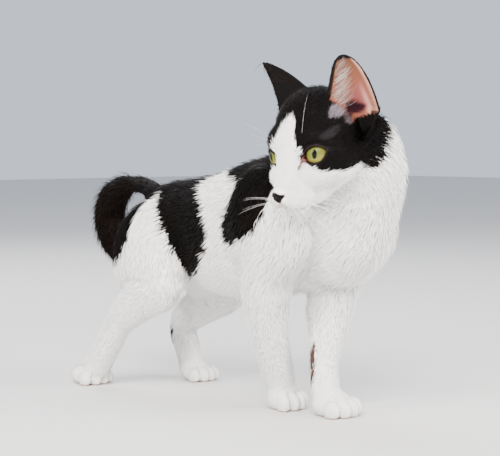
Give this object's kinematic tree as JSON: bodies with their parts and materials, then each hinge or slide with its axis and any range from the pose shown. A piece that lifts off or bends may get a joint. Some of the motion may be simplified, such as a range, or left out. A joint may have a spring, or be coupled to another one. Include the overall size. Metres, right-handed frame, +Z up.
{
  "type": "domestic shorthair cat",
  "caption": "Life-size young black and white shorthair cat standing with its head turned to its right and its tail curled behind the rump.",
  "frame": {"origin": "on the floor below the middle of the cat's bounding box", "axes": "+Z up, -Y the way the body faces, +X the cat's left side; the head is turned towards -X"},
  "size_m": [0.1349, 0.3552, 0.2713],
  "materials": {
    "coat_white": "short soft fur",
    "coat_black": "short soft fur",
    "eye": "wet gloss"
  },
  "bodies": {
    "root": {"head": "coat_white", "ear_left": "coat_black", "ear_right": "coat_black", "eye_left": "eye", "eye_right": "eye", "neck": "coat_white", "torso": "coat_white", "tail_arch": "coat_black", "tail_bend": "coat_black", "tail_tip": "coat_black", "fore_left_upper": "coat_white", "fore_left_forearm": "coat_white", "fore_left_paw": "coat_white", "fore_right_upper": "coat_white", "fore_right_forearm": "coat_white", "fore_right_paw": "coat_white", "hind_left_thigh": "coat_white", "hind_left_shank": "coat_white", "hind_left_foot": "coat_white", "hind_left_paw": "coat_white", "hind_right_thigh": "coat_white", "hind_right_shank": "coat_white", "hind_right_foot": "coat_white", "hind_right_paw": "coat_white"}
  },
  "joints": []
}
